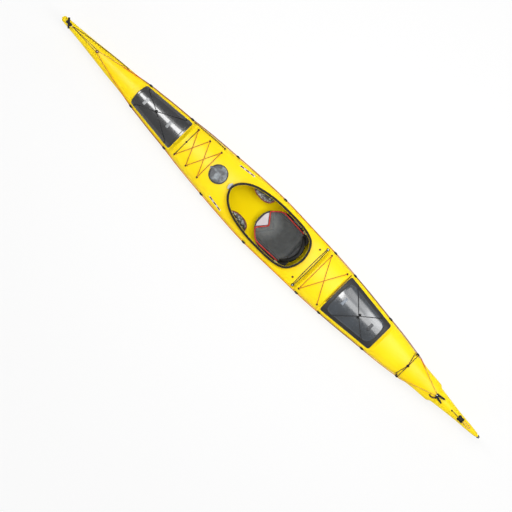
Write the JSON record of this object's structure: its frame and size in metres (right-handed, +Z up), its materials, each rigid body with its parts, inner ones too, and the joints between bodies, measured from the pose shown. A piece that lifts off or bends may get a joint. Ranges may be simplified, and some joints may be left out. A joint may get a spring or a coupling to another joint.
{
  "type": "sea kayak",
  "caption": "Touring sea kayak with moulded hull and deck, oval cockpit, seat and foot braces, strapped hatch covers and corded deck rigging.",
  "frame": {"origin": "on the ground under the middle of the kayak's length, on its centreline", "axes": "+X to the bow, +Y to port, +Z up"},
  "size_m": [5.208, 0.5544, 0.3349],
  "materials": {
    "yellow_shell": "gloss",
    "black_rim": "satin",
    "foam_bulkhead": "matte",
    "black_frame": "satin",
    "black_lid": "gloss",
    "grey_lid": "gloss",
    "rubber_lid": "satin",
    "rust_cord": "woven",
    "dark_cord": "woven",
    "pale_cord": "woven",
    "black_fitting": "satin",
    "seat_plastic": "satin",
    "seat_fabric": "woven",
    "backrest_plastic": "gloss",
    "backrest_foam": "matte",
    "rail_metal": "brushed"
  },
  "bodies": {
    "shell": {"hull": "yellow_shell", "deck": "yellow_shell", "cockpit_rim": "black_rim", "bow_bulkhead": "foam_bulkhead", "stern_bulkhead": "foam_bulkhead", "bow_hatch_frame": "black_frame", "stern_hatch_frame": "black_frame", "day_hatch_ring": "black_frame", "day_hatch_pod": "black_frame", "fore_deck_bungee": "rust_cord", "aft_deck_bungee": "rust_cord", "paddle_park_cord": "dark_cord", "stern_cross_bungee": "dark_cord", "deck_line_port": "rust_cord", "deck_line_starboard": "rust_cord", "line_fitting_port_1": "black_fitting", "line_fitting_port_2": "black_fitting", "line_fitting_port_3": "black_fitting", "line_fitting_port_4": "black_fitting", "line_fitting_port_5": "black_fitting", "line_fitting_port_6": "black_fitting", "line_fitting_port_7": "black_fitting", "line_fitting_port_8": "black_fitting", "line_fitting_starboard_1": "black_fitting", "line_fitting_starboard_2": "black_fitting", "line_fitting_starboard_3": "black_fitting", "line_fitting_starboard_4": "black_fitting", "line_fitting_starboard_5": "black_fitting", "line_fitting_starboard_6": "black_fitting", "line_fitting_starboard_7": "black_fitting", "line_fitting_starboard_8": "black_fitting", "bow_toggle_cord": "dark_cord", "bow_deck_loop": "black_fitting", "stern_cleat": "black_fitting", "bow_toggle_plate": "black_fitting", "stern_bracket": "black_fitting", "seat_pan": "seat_plastic", "seat_cushion": "seat_fabric", "thigh_brace_port": "rubber_lid", "thigh_brace_starboard": "rubber_lid", "foot_rail_port": "rail_metal", "foot_rail_starboard": "rail_metal"},
    "bow_hatch_cover": {"bow_hatch_lid": "black_lid", "bow_hatch_cords": "dark_cord", "bow_hatch_ball": "black_fitting"},
    "stern_hatch_cover": {"stern_hatch_lid": "grey_lid", "stern_hatch_cords": "dark_cord", "stern_hatch_ball": "black_fitting"},
    "day_hatch_cover": {"day_hatch_lid": "rubber_lid"},
    "backrest": {"backrest_shell": "backrest_plastic", "backrest_pad": "backrest_foam"},
    "foot_pedal_port": {"foot_pedal_port": "black_fitting"},
    "foot_pedal_starboard": {"foot_pedal_starboard": "black_fitting"},
    "bow_toggle": {"bow_toggle_post": "dark_cord", "bow_toggle": "black_fitting"},
    "stern_toggle": {"stern_toggle": "black_fitting", "stern_toggle_line": "pale_cord"}
  },
  "joints": [
    {"name": "bow_hatch_lift", "type": "slide", "parent": "shell", "child": "bow_hatch_cover", "axis": [0, 0, 1], "range_m": [0, 0.12]},
    {"name": "stern_hatch_lift", "type": "slide", "parent": "shell", "child": "stern_hatch_cover", "axis": [0, 0, 1], "range_m": [0, 0.12]},
    {"name": "day_hatch_lift", "type": "slide", "parent": "shell", "child": "day_hatch_cover", "axis": [0, 0, 1], "range_m": [0, 0.08]},
    {"name": "backrest_tilt", "type": "hinge", "parent": "shell", "child": "backrest", "pos_m": [-0.17317, 0, 0.112], "axis": [0, 1, 0], "range_deg": [0, 30]},
    {"name": "foot_pedal_port_slide", "type": "slide", "parent": "shell", "child": "foot_pedal_port", "axis": [0.9954, -0.0953, 0], "range_m": [-0.11, 0.11]},
    {"name": "foot_pedal_starboard_slide", "type": "slide", "parent": "shell", "child": "foot_pedal_starboard", "axis": [0.9954, 0.0953, 0], "range_m": [-0.11, 0.11]},
    {"name": "bow_toggle_turn", "type": "hinge", "parent": "shell", "child": "bow_toggle", "pos_m": [2.52356, 0, 0.294], "axis": [0, 0, 1], "range_deg": [-90, 90]},
    {"name": "stern_toggle_lift", "type": "hinge", "parent": "shell", "child": "stern_toggle", "pos_m": [-2.26422, 0, 0.29345], "axis": [0, 1, 0], "range_deg": [0, 70]}
  ]
}
